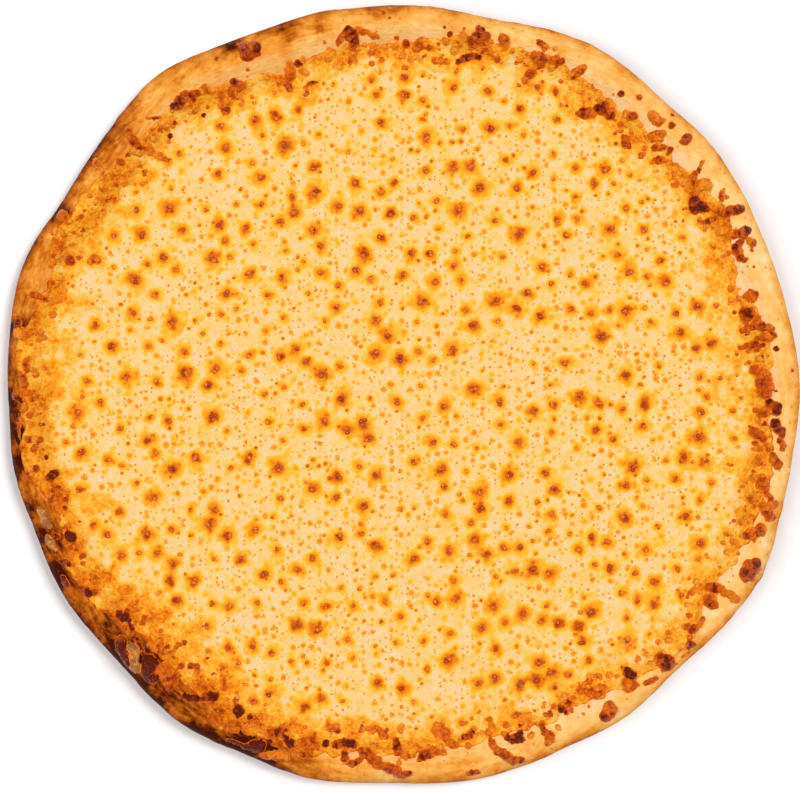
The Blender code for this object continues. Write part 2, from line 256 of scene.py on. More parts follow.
class Recipe:
    # a material, and the one way to put a node in it
    def __init__(self, name):
        self.material = bpy.data.materials.new(name)
        self.material.use_nodes = True
        self.tree = self.material.node_tree
        self.shader = self.tree.nodes["Principled BSDF"]

    def node(self, kind, settings, inputs, output=0):
        made = self.tree.nodes.new("ShaderNode" + kind)
        for label, value in settings.items():
            if label == "stops":
                self.setStops(made.color_ramp, value)
            else:
                setattr(made, label, value)
        self.feed(made, inputs)
        return Wire(self, made.outputs[output])

    def setStops(self, ramp, stops):
        while len(ramp.elements) < len(stops):
            ramp.elements.new(1.0)
        for element, (place, colour) in zip(ramp.elements, stops):
            element.position = place
            element.color = (*colour, 1.0)

    def feed(self, node, inputs):
        for label, value in inputs.items():
            socket = node.inputs[label]
            if isinstance(value, Wire):
                self.tree.links.new(value.socket, socket)
            else:
                socket.default_value = value

    def attribute(self, label):
        return self.node("Attribute", {"attribute_name": label}, {}, 2)

    def place(self):
        return self.node("TexCoord", {}, {}, 3)

    def vector(self, operation, inputs, output=0):
        return self.node("VectorMath", {"operation": operation}, inputs, output)

    def noise(self, size, detail=2.0, rough=0.5):
        inputs = {"Vector": self.place(), "Scale": 1 / size, "Detail": detail, "Roughness": rough}
        return self.node("TexNoise", {}, inputs)

    def rise(self, value, low, high, least=0.0, most=1.0):
        inputs = {"Value": value, "From Min": low, "From Max": high, "To Min": least, "To Max": most}
        return self.node("MapRange", {"interpolation_type": "SMOOTHSTEP"}, inputs)

    def ramp(self, value, stops):
        return self.node("ValToRGB", {"stops": stops}, {0: value})

    def mix(self, share, first, second):
        return self.node("Mix", {"data_type": "RGBA"}, {0: share, 6: first, 7: second}, 2)

    def finish(self, colour, roughness, specular, height, depth):
        # the surface's colour and sheen, with a relief of that height times that depth
        relief = {"Height": height, "Distance": depth, "Strength": 1.0}
        self.feed(self.shader, {
            "Base Color": colour,
            "Roughness": roughness,
            "Specular IOR Level": specular,
            "Normal": self.node("Bump", {}, relief),
        })
        return self.material


def nearTo(spot, x, y, bend, share):
    # the points in a square round a spot (x, y, radius, ...), and their distances from its
    # middle, bent by noise, over its radius
    reach = share * spot[2]
    near = np.flatnonzero((np.abs(x - spot[0]) < reach) & (np.abs(y - spot[1]) < reach))
    return near, np.hypot(x[near] - spot[0], y[near] - spot[1]) * bend[near] / spot[2]


def haloAt(x, y, spots):
    # strength of soft spots (x, y, radius, strength) at each point: the strongest of all
    # falls (1 - distance / radius)^1.9, with the distances bent by noise
    shape = x.shape
    x = x.ravel()
    y = y.ravel()
    bend = 1 + 0.26 * softNoise(x, y, 0, 3.2 * mm, 41) + 0.24 * softNoise(x, y, 0, 1.6 * mm, 42)
    halo = np.zeros_like(x)
    for spot in spots:
        near, gap = nearTo(spot, x, y, bend, 2.0)
        halo[near] = np.maximum(halo[near], spot[3] * np.clip(1 - gap, 0.0, 1.0) ** 1.9)
    return halo.reshape(shape)


def edgeSpots(rows):
    # rows of (angle, inset in mm, radius in mm, strength) as (x, y, radius, strength)
    rows = np.array(rows, float)
    angle = np.radians(rows[:, 0])
    x, y = polar(outline(angle) - mm * rows[:, 1], angle)
    return np.column_stack((x, y, mm * rows[:, 2], rows[:, 3]))


# How dark the crust is, from 0 pale to 1 dark, by angle: its toasting, and on the left and
# lower left also painted shade of the side away from the light
crustLook = {
    "segments": 1260,
    "sectionSteps": (24, 20, 11),
    "slopePush": 0.6,
    "soleHeight": 0.0003,
    "toast": (
        (0, 0.22), (30, 0.15), (48, 0.25), (60, 0.27), (80, 0.31), (100, 0.35), (113, 0.4), (122, 0.42),
        (132, 0.48), (145, 0.58), (160, 0.57), (180, 0.71), (189, 0.77), (194, 0.64), (200, 0.73),
        (211, 0.7), (217, 0.72), (223, 0.92), (234, 0.8), (243, 0.87), (262, 0.38), (285, 0.34),
        (308, 0.22), (322, 0.26), (335, 0.17)),
    "mostToast": 1.5,
    # the outer wall: how much browner, the most there and where that counts
    "wallToast": 0.38,
    "wallMost": 0.80,
    "wallRange": (0.6, 1.1),
    "wallDepth": 1.3,
    # painted light: how much paler the inner slope of the rim is painted, to lift its shade
    "slopePaintedLight": 0.17,
    # pale patches: angle, inset in mm, radius in mm, strength
    "pale": (
        (20.5, 4, 7, 0.62), (16.5, 5.5, 6, 0.45), (337.5, 4.5, 6.5, 0.62), (46, 5, 9, 0.12),
        (112, 13, 7, 0.25), (88, 9, 9, 0.25), (150, 7, 7, 0.3), (318, 13, 6, 0.4)),
    # darker patches: the same
    "dark": (
        (116, 3.5, 9, 0.5), (108, 5, 12, 0.34), (103, 7, 9, 0.28), (94, 2.5, 9, 0.34), (137, 2, 8, 0.25),
        (152, 4, 9, 0.36), (170, 6, 10, 0.36), (186, 5, 10, 0.3), (181, 2, 6, 0.42), (190, 3, 5, 0.4),
        (197, 3, 6, 0.38), (203, 7, 10, 0.3), (207, 2.5, 8, 0.4), (223, 2.5, 10, 0.42), (226, 9, 10, 0.4),
        (231, 2, 7, 0.36), (238, 1.5, 7, 0.36), (246, 4, 9, 0.42), (250, 8, 9, 0.36)),
    # colours, here and below as linear red, green and blue
    "doughColours": (
        (0, (0.99, 0.68, 0.33)), (0.2, (0.96, 0.53, 0.15)), (0.42, (0.87, 0.33, 0.04)),
        (0.66, (0.56, 0.13, 0.006)), (0.92, (0.13, 0.016, 0.0008)), (1, (0.06, 0.006, 0.0004))),
    "soleColours": ((0.36, (0.88, 0.62, 0.33)), (0.52, (0.72, 0.38, 0.13)), (0.66, (0.26, 0.085, 0.022))),
    "paleColour": (1, 0.78, 0.44, 1),
    "flourColour": (0.93, 0.8, 0.6, 1),
    "speckColour": (0.42, 0.1, 0.01, 1),
}


def crustProfile():
    # section of the dough as (inset, height share): under the cheese, up the inner slope,
    # over the crest to the waist, and round the foot to the flat underside
    slopeSteps, arcSteps, footSteps = crustLook["sectionSteps"]
    basin = [0.122, 0.092, 0.062, 0.044, 0.032, 0.026]
    slope = np.linspace(pizza["basinInset"], pizza["crestInset"], slopeSteps)
    arc = np.radians(np.linspace(0, 90, arcSteps)[1:])
    lower = np.radians(np.linspace(0, 90, footSteps)[1:])
    sole = [0.008, 0.012, 0.020, 0.05, 0.1]
    upper = np.concatenate((basin, slope, pizza["crestInset"] * (1 - np.sin(arc))))
    under = np.concatenate((pizza["footInset"] * (1 - np.cos(lower)), sole))
    fall = np.concatenate((1 - np.sin(lower), np.zeros(len(sole))))
    return upper, under, fall


def makeCrust():
    # rings of the profile round the uneven outline: point = (outline - inset * rim width)
    # turned by the angle, at the height of the dough there, pushed out along the section's
    # own normal by the dough's lumps
    upper, under, fall = crustProfile()
    angle = fullTurn(crustLook["segments"])[None, :]
    inset = np.concatenate((upper, under))[:, None]
    nearRim = 1 - smoothStep(pizza["basinInset"], 4 * pizza["basinInset"], inset)
    width = 1 + (around(pizza["rimWidths"], angle) - 1) * nearRim
    radius = pizza["radius"] + (outline(angle) - pizza["radius"]) * nearRim - inset * width
    waist = pizza["waistHeight"]
    section, slope = rimSection(inset, angle)
    height = np.concatenate((section[:len(upper)], waist * fall[:, None] * np.ones_like(angle)))
    alongR = np.gradient(radius, axis=0)
    alongZ = np.gradient(height, axis=0)
    length = np.maximum(np.hypot(alongR, alongZ), 1e-9)
    push = doughLumps(*polar(radius, angle), height) * np.concatenate((slope[:len(upper)], fall[:, None]))
    outward = -alongZ / length
    radius = radius + crustLook["slopePush"] * push * np.minimum(outward, 0.0)
    radius = radius - np.abs(push) * np.maximum(outward, 0.0)
    height = np.maximum(height + push * alongR / length, 0.0)
    x, y = polar(radius, angle)
    points = np.stack((x, y, height), axis=-1)
    poles = np.array([[0, 0, pizza["baseThickness"]], [0, 0, 0]])
    quads, fans = tubeFaces(*radius.shape)
    wall = np.concatenate((np.zeros_like(upper), np.ones_like(under)))[:, None]
    below = np.clip((crest(angle) - height) / (crest(angle) - waist), 0, 1.6)
    outside = np.where(inset < pizza["crestInset"], below, 0.0) * (1 - wall)
    outside = outside + wall * crustLook["wallDepth"]
    inwards = smoothStep(pizza["crestInset"], 0.6 * pizza["basinInset"], inset) * (1 - wall)
    # darkness of the dough: its toasting by angle, darker on the left and lower left partly as painted
    # shade, and browner down the outer wall
    toast = around(crustLook["toast"], angle) + crustLook["wallToast"] * outside
    # painted light: the inner slope is painted paler against the shade it lies in
    toast = toast - crustLook["slopePaintedLight"] * inwards
    toast = toast + haloAt(x, y, edgeSpots(crustLook["dark"]))
    most = crustLook["mostToast"]
    most = most + (crustLook["wallMost"] - most) * smoothStep(*crustLook["wallRange"], outside)
    toast = np.minimum(toast, most)
    pale = haloAt(x, y, edgeSpots(crustLook["pale"]))
    flat = (height < crustLook["soleHeight"]) & (wall > 0.5)
    points = np.concatenate((points.reshape(-1, 3), poles))
    attributes = {
        "toast": np.concatenate((toast.ravel(), [0.5, 0.5])),
        "pale": np.concatenate((pale.ravel(), [0.0, 0.0])),
        "underside": np.concatenate((flat.ravel() * 1.0, [0.0, 1.0])),
    }
    crust = makePiece("crustDough", points, quads, fans, crustMaterial(), attributes)
    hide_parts("crust")


def rimStreaks(mat, alongSize, acrossSize):
    # noise drawn out along the rim: the direction from the middle gives two coordinates
    # and the distance from it, with part of the height, gives the third
    place = mat.place()
    flat = mat.vector("MULTIPLY", {0: place, 1: (1.0, 1.0, 0.0)})
    direction = mat.vector("NORMALIZE", {0: flat})
    distance = mat.vector("LENGTH", {0: flat}, 1)
    height = mat.node("SeparateXYZ", {}, {0: place}, 2)
    across = (distance + height * 0.7) * (1 / acrossSize)
    third = mat.node("CombineXYZ", {}, {2: across})
    share = pizza["radius"] / alongSize
    where = mat.vector("MULTIPLY_ADD", {0: direction, 1: (share, share, 0.0), 2: third})
    inputs = {"Vector": where, "Scale": 1.0, "Detail": 4.0, "Roughness": 0.65}
    return mat.node("TexNoise", {}, inputs)


def crustMaterial():
    # dough by its toasting, with painted shade on the left and painted light on the inner slope,
    # and noise of three sizes, then pale patches and specks, and a mottled, floury base on the underside
    mat = Recipe("bakedDough")
    toast = mat.attribute("toast")
    patches = mat.noise(0.013, 3.0)
    grain = mat.noise(0.0024, 5.0, 0.7)
    streaks = rimStreaks(mat, 0.0075, 0.0019)
    level = toast + (patches - 0.5) * 0.60 + (grain - 0.5) * 0.45 + (streaks - 0.5) * (toast * 1.3 + 0.15)
    dough = mat.ramp(level, crustLook["doughColours"])
    pale = mat.attribute("pale") + (patches - 0.5) * 0.7 + (grain - 0.5) * 0.3
    dough = mat.mix(mat.rise(pale, 0.12, 0.70, 0.0, 0.85), dough, crustLook["paleColour"])
    flour = mat.rise(mat.noise(0.02, 2.0), 0.55, 0.75, 0.0, 0.55)
    sole = mat.ramp(mat.noise(0.011, 4.0, 0.6), crustLook["soleColours"])
    sole = mat.mix(flour, sole, crustLook["flourColour"])
    speckCells = mat.node("TexVoronoi", {}, {"Vector": mat.place(), "Scale": 230.0})
    specks = mat.rise(speckCells, 0.16, 0.07)
    colour = mat.mix(specks * 0.50, dough, crustLook["speckColour"])
    colour = mat.mix(mat.attribute("underside"), colour, sole)
    relief = grain + mat.noise(0.0007, 2.0, 0.5) * 0.3 + patches + streaks
    return mat.finish(colour, mat.rise(toast, 0.2, 1.2, 0.66, 0.45), 0.015, relief, 0.00045)


# Edge of the cheese by angle: inset from the outline in mm; and how wide in mm, and how
# strongly from 0 to 1, the cheese is browned inwards from that edge
cheeseLook = {
    "gridCells": 304,
    "thickness": 0.0034,
    "edgeThickness": 0.0013,
    "thinningWidth": 0.019,
    "lipWidth": 0.0013,
    # in mm the rise of a halo and of the browned band, and how deep the rings underneath,
    # at these shares of the edge's radius, lie in the dough
    "haloRise": 0.40,
    "bandRise": 0.30,
    "underShares": (0.992, 0.93, 0.84),
    "sunk": 0.4,
    "insets": (
        (0, 12.7), (10, 10.5), (18, 15.5), (28, 10.5), (42, 14.5), (58, 13.5), (70, 11), (80, 9.8),
        (90, 14), (102, 15.5), (111, 17.5), (122, 15.2), (134, 14), (143, 11), (153, 5.2), (162, 11),
        (168, 9.5), (175, 5), (182, 7.5), (190, 5), (199, 11), (209, 8), (219, 13), (228, 15), (240, 12),
        (250, 8.5), (260, 12.3), (270, 12), (281, 14.5), (292, 13.8), (302, 13), (311, 8.5), (318, 6.5),
        (328, 14.5), (340, 10), (350, 8.5)),
    "bandWidths": (
        (0, 19), (30, 16), (55, 14), (75, 13), (100, 11), (130, 13), (155, 19), (180, 20), (205, 21),
        (230, 19), (250, 17), (270, 13), (300, 13), (330, 14)),
    "bandStrength": (
        (0, 0.95), (30, 0.85), (52, 0.8), (75, 0.95), (100, 0.7), (125, 0.75), (155, 0.9), (180, 0.9),
        (205, 1.05), (225, 1.05), (250, 1.05), (270, 0.85), (300, 0.75), (330, 0.75)),
    "creamColours": (
        (0.32, (1, 0.665, 0.42)), (0.45, (1, 0.625, 0.31)), (0.55, (0.99, 0.59, 0.19)),
        (0.68, (0.97, 0.49, 0.1))),
    "grainColour": (0.97, 0.53, 0.13, 1),
    "spotColours": ((0.15, (0.985, 0.6, 0.125)), (0.5, (0.95, 0.4, 0.024)), (1, (0.82, 0.2, 0.006))),
    "prickColours": ((0.1, (0.93, 0.56, 0.11)), (0.4, (0.82, 0.33, 0.024)), (0.8, (0.66, 0.17, 0.006))),
    "oliveColour": (0.66, 0.46, 0.08, 1),
    "haloColours": (
        (0.06, (0.99, 0.6, 0.12)), (0.18, (0.98, 0.49, 0.04)), (0.32, (0.95, 0.36, 0.01)),
        (0.44, (0.86, 0.23, 0.005)), (0.58, (0.66, 0.12, 0.003)), (0.82, (0.32, 0.034, 0.002))),
    "bandColours": (
        (0, (0.985, 0.56, 0.085)), (0.22, (0.97, 0.43, 0.028)), (0.44, (0.92, 0.28, 0.009)),
        (0.64, (0.7, 0.13, 0.004)), (0.88, (0.26, 0.028, 0.002))),
}

# Blisters in the field: how many and how far apart, in metres, and how strong from 0 to 1
blisterLook = {
    "large": 470,
    "largeApart": 0.0060,
    "small": 900,
    "smallApart": 0.0026,
    "edgeGap": 0.006,
    "triesEach": 40,
    "haloRadius": (0.0030, 0.0080),
    "haloSpread": (1.6, 1.9),
    "smallRadius": (0.0014, 0.0030),
    "smallStrength": (0.25, 0.75),
    "seed": 21,
}


def cheeseEdge(angle):
    # radius of the cheese's ragged edge: outline less the listed inset, with noise of
    # three sizes that is read on the circle, so that it closes on itself
    x, y = polar(pizza["radius"], angle)
    ragged = 1.2 * softNoise(x, y, 0, 9 * mm, 31) + 1.1 * softNoise(x, y, 0, 4 * mm, 32)
    ragged = ragged + 0.7 * softNoise(x, y, 0, 2.0 * mm, 33)
    return outline(angle) - mm * (around(cheeseLook["insets"], angle) + ragged)


def ripple(x, y):
    # low swells of melted cheese: products of sine waves, between about -1 and 1
    longSwell = np.sin(95 * x + 40 * y + 0.7) * np.cos(70 * y - 30 * x + 2.1)
    shortSwell = np.sin(210 * x - 130 * y) * np.sin(180 * y + 110 * x + 1.3)
    return 0.6 * longSwell + 0.4 * shortSwell


def cheeseTop(x, y):
    # height of the cheese: the dough under it plus a thickness that falls towards the
    # edge and rounds off over the lip, with swells and low lumps
    angle = np.arctan2(y, x)
    depth = cheeseEdge(angle) - np.hypot(x, y)
    full = smoothStep(0.0, cheeseLook["thinningWidth"], depth)
    edge = cheeseLook["edgeThickness"]
    thickness = edge + (cheeseLook["thickness"] - edge) * full
    thickness = thickness + 0.35 * mm * ripple(x, y) * full
    thickness = thickness + mm * (0.16 * softNoise(x, y, 0, 8 * mm, 34) + 0.22 * (1 - full)
                                  * softNoise(x, y, 0, 2.6 * mm, 35))
    share = np.clip(depth / cheeseLook["lipWidth"], 0.0, 1.0)
    return doughTop(x, y) + thickness * np.sqrt(np.clip(1 - (1 - share) ** 2, 0.0, 1.0))


def restHeight(x, y):
    # height of whatever lies on top at a place: cheese inside its edge, bare dough outside
    inside = np.hypot(x, y) < cheeseEdge(np.arctan2(y, x))
    return np.where(inside, cheeseTop(x, y), doughTop(x, y))


def scatter(count, apart, chance, taken):
    # places drawn one by one inside the cheese that keep their distance from all before
    found = list(taken)
    tries = chance.uniform(-1, 1, (count * blisterLook["triesEach"], 2)) * pizza["radius"]
    edge = cheeseEdge(np.arctan2(tries[:, 1], tries[:, 0])) - blisterLook["edgeGap"]
    tries = tries[np.hypot(tries[:, 0], tries[:, 1]) < edge]
    for spot in tries:
        if len(found) - len(taken) >= count:
            break
        gaps = np.hypot(*(np.array(found) - spot).T) if found else np.array([1.0])
        if gaps.min() > apart:
            found.append(spot)
    return np.array(found[len(taken):])


def makeBlisters():
    # rows of x, y, halo radius and strength: large ones first, small dots between them
    chance = np.random.default_rng(blisterLook["seed"])
    large = scatter(blisterLook["large"], blisterLook["largeApart"], chance, [])
    small = scatter(blisterLook["small"], blisterLook["smallApart"], chance, list(large))
    low, high = blisterLook["haloRadius"]
    largeRadius = low + (high - low) * chance.beta(*blisterLook["haloSpread"], len(large))
    smallRadius = chance.uniform(*blisterLook["smallRadius"], len(small))
    radius = np.concatenate((largeRadius, smallRadius))
    strength = np.concatenate((
        0.60 + 0.40 * smoothStep(0.0030, 0.0060, largeRadius) * chance.uniform(0.6, 1.0, len(large)),
        chance.uniform(*blisterLook["smallStrength"], len(small))))
    return np.column_stack((np.concatenate((large, small)), radius, strength))


def makeCheese(blisters, stains):
    # upper face: a square grid (u, v) drawn to a disc by x = u sqrt(1 - v^2 / 2) and
    # y = v sqrt(1 - u^2 / 2), stretched to the ragged edge; three rings and a pole close it
    cells = cheeseLook["gridCells"]
    line = np.linspace(-1, 1, cells + 1)
    u, v = np.meshgrid(line, line, indexing="ij")
    discX = u * np.sqrt(1 - v * v / 2)
    discY = v * np.sqrt(1 - u * u / 2)
    angle = np.arctan2(discY, discX)
    edge = cheeseEdge(angle)
    x = discX * edge
    y = discY * edge
    halo = haloAt(x, y, blisters)
    depth = edge - np.hypot(x, y)
    width = mm * around(cheeseLook["bandWidths"], angle)
    uneven = 0.5 * softNoise(x, y, 0, 7 * mm, 43) + 0.35 * softNoise(x, y, 0, 3 * mm, 44)
    band = np.clip(1 - depth / width + uneven, 0.0, 1.3) * around(cheeseLook["bandStrength"], angle)
    band = band * smoothStep(2.2, 0.6, depth / width)
    band = np.maximum(band, haloAt(x, y, stains))
    rough = smoothStep(0.3, 0.9, band)
    height = cheeseTop(x, y) + cheeseLook["haloRise"] * mm * halo
    height = height + cheeseLook["bandRise"] * mm * rough * softNoise(x, y, 0, 2.1 * mm, 45)
    number = np.arange((cells + 1) ** 2).reshape(cells + 1, cells + 1)
    quads = np.stack((number[:-1, :-1], number[1:, :-1], number[1:, 1:], number[:-1, 1:]), axis=-1)
    rim = np.concatenate((number[:-1, 0], number[-1, :-1], number[:0:-1, -1], number[0, :0:-1]))
    sunk = cheeseLook["sunk"] * mm
    rings = []
    for share in cheeseLook["underShares"]:
        ringX = x.ravel()[rim] * share
        ringY = y.ravel()[rim] * share
        rings.append(np.stack((ringX, ringY, doughTop(ringX, ringY) - sunk), axis=-1))
    pole = np.array([[0, 0, pizza["baseThickness"] - sunk]])
    upper = np.stack((x, y, height), axis=-1).reshape(-1, 3)
    points = np.concatenate((upper, *rings, pole))
    sides = len(rim)
    loops = [rim] + [len(upper) + k * sides + np.arange(sides) for k in range(len(rings))]
    under = [np.stack((a, b, np.roll(b, -1), np.roll(a, -1)), axis=-1) for a, b in zip(loops, loops[1:])]
    fan = np.stack((loops[-1], np.full(sides, len(points) - 1), np.roll(loops[-1], -1)), axis=-1)
    quads = np.concatenate((quads.reshape(-1, 4), *under))
    spare = np.zeros(len(points) - len(upper))
    attributes = {
        "halo": np.concatenate((halo.ravel(), spare)),
        "band": np.concatenate((band.ravel(), spare + 0.5)),
    }
    cheese = makePiece("cheeseLayer", points, quads, fan, cheeseMaterial(), attributes)
    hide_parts("cheese")


def dots(mat, spacing, radius, waver):
    # small spots on a flat pattern of cells, each with its own size and tint, with their
    # edges bent by noise: 1 in the middle of a spot, falling softly to 0
    inputs = {"Vector": mat.place(), "Scale": 900.0, "Detail": 1.0}
    wave = mat.node("TexNoise", {}, inputs, 1)
    moved = mat.vector("MULTIPLY_ADD", {0: wave, 1: (waver, waver, 0.0), 2: mat.place()})
    settings = {"voronoi_dimensions": "2D"}
    inputs = {"Vector": moved, "Scale": 1 / spacing}
    cells = mat.node("TexVoronoi", settings, inputs)
    own = mat.node("TexVoronoi", settings, inputs, 1)
    pick = mat.node("SeparateColor", {}, {0: own}, 0)
    tint = mat.node("SeparateColor", {}, {0: own}, 1)
    return mat.rise(cells - pick * (radius / spacing), 0.06, -0.58), tint


def cheeseMaterial():
    # clouds of cream, then orange spots and small pricks, the browned halos of the blisters
    # and the mottled brown of the band along the edge
    mat = Recipe("meltedCheese")
    cloudy = mat.noise(0.009, 3.0, 0.6)
    fine = mat.noise(0.0010, 3.0, 0.65)
    blotch = mat.noise(0.0028, 3.0, 0.6)
    cream = mat.ramp(cloudy * 0.45 + blotch * 0.55, cheeseLook["creamColours"])
    cream = mat.mix(mat.rise(fine, 0.30, 0.75, 0.0, 0.35), cream, cheeseLook["grainColour"])
    spots, spotTint = dots(mat, 0.0035, 0.0021, 0.0011)
    spotColour = mat.ramp(spots * 0.85 + spotTint * 0.25, cheeseLook["spotColours"])
    colour = mat.mix(mat.rise(spots, 0.0, 0.55), cream, spotColour)
    pricks, prickTint = dots(mat, 0.0021, 0.0010, 0.0006)
    prickColour = mat.ramp(pricks, cheeseLook["prickColours"])
    olive = mat.rise(prickTint, 0.55, 0.75, 0.0, 0.7)
    olive = mat.mix(olive, prickColour, cheeseLook["oliveColour"])
    colour = mat.mix(mat.rise(pricks, 0.0, 0.50, 0.0, 0.9), colour, olive)
    dotted = fine * 0.56 + 0.60 + spots * 0.50 + pricks * 0.50
    halo = mat.attribute("halo") * dotted + (blotch - 0.5) * 0.26
    browned = mat.ramp(halo, cheeseLook["haloColours"])
    colour = mat.mix(mat.rise(halo, 0.02, 0.16), colour, browned)
    band = mat.attribute("band")
    mottle = mat.noise(0.0036, 5.0, 0.70)
    knobs = mat.noise(0.0014, 3.0, 0.60)
    level = band * 0.50 + (mottle - 0.5) * 1.3 + (knobs - 0.5) * 0.9
    melted = mat.ramp(level, cheeseLook["bandColours"])
    colour = mat.mix(mat.rise(band + (mottle - 0.5) * 0.8, -0.02, 0.42), colour, melted)
    relief = fine + blotch * 1.4 + halo * 0.6 + knobs * band * 2.0
    roughness = mat.rise(mat.noise(0.004, 3.0), 0.3, 0.7, 0.34, 0.52)
    return mat.finish(colour, roughness, 0.05, relief, 0.00045)


# Small beads that stand in the middles of the large blisters
beadLook = {
    "rings": 4,
    "sides": 9,
    "each": 3,
    "radius": (0.00045, 0.00110),
    "spread": 0.16,
    "leastStrength": 0.60,
    "lump": 0.30,
    "lumpPlace": 0.0008,
    "flatness": 0.75,
    "tone": (0.6, 1.2),
    "colours": ((0.35, (0.9, 0.28, 0.02)), (0.65, (0.74, 0.16, 0.01)), (1, (0.42, 0.055, 0.004))),
    "seed": 52,
}


def makeBeads(blisters):
    # each bead is a ball (angle down from the top, angle round) with lumps, set round the
    # middle of its blister at a distance drawn as a share of the halo, half sunk in
    chance = np.random.default_rng(beadLook["seed"])
    rows = np.repeat(blisters[blisters[:, 3] > beadLook["leastStrength"]], beadLook["each"], axis=0)
    count = len(rows)
    turn = chance.uniform(0, 2 * math.pi, count)
    away = beadLook["spread"] * rows[:, 2] * np.sqrt(chance.uniform(0, 1, count))
    awayX, awayY = polar(away, turn)
    middleX = rows[:, 0] + awayX
    middleY = rows[:, 1] + awayY
    low, high = beadLook["radius"]
    size = low + (high - low) * chance.uniform(0, 1, count) * rows[:, 2] / blisterLook["haloRadius"][1]
    rings = beadLook["rings"]
    sides = beadLook["sides"]
    down = np.linspace(0, math.pi, rings + 2)[None, 1:-1, None]
    turnRound = fullTurn(sides)[None, None, :]
    foot = cheeseTop(middleX, middleY) + 0.30 * mm * rows[:, 3]
    flatness = beadLook["flatness"]
    startX, startY, startZ = [values[:, None, None] for values in (middleX, middleY, foot)]
    place = beadLook["lumpPlace"]
    lumpX, lumpY = polar(place * np.sin(down), turnRound)
    lump = softNoise(startX + lumpX, startY + lumpY, place * np.cos(down), 0.9 * mm, 51)
    reach = size[:, None, None] * (1 + beadLook["lump"] * lump)
    x, y = polar(reach * np.sin(down), turnRound)
    bodies = np.stack((startX + x, startY + y, startZ + flatness * reach * np.cos(down)), axis=-1)
    bodies = bodies.reshape(count, -1, 3)
    tops = np.stack((middleX, middleY, foot + flatness * size), axis=-1)
    soles = np.stack((middleX, middleY, foot - flatness * size), axis=-1)
    points = np.concatenate((bodies, tops[:, None], soles[:, None]), axis=1)
    each = points.shape[1]
    quads, fans = tubeFaces(rings, sides)
    shift = (np.arange(count) * each)[:, None, None]
    quads = (quads[None] + shift).reshape(-1, 4)
    fans = (fans[None] + shift).reshape(-1, 3)
    tone = np.repeat(rows[:, 3] * chance.uniform(*beadLook["tone"], count), each)
    beads = makePiece("blisterBeads", points.reshape(-1, 3), quads, fans, beadMaterial(), {"tone": tone})


def beadMaterial():
    # glossy orange to brown, by the tone that each bead has from its blister
    mat = Recipe("blisterBrown")
    level = mat.attribute("tone") + (mat.noise(0.0009, 2.0) - 0.5) * 0.6
    colour = mat.ramp(level, beadLook["colours"])
    return mat.finish(colour, 0.13, 0.32, mat.noise(0.0006, 2.0), 0.0002)


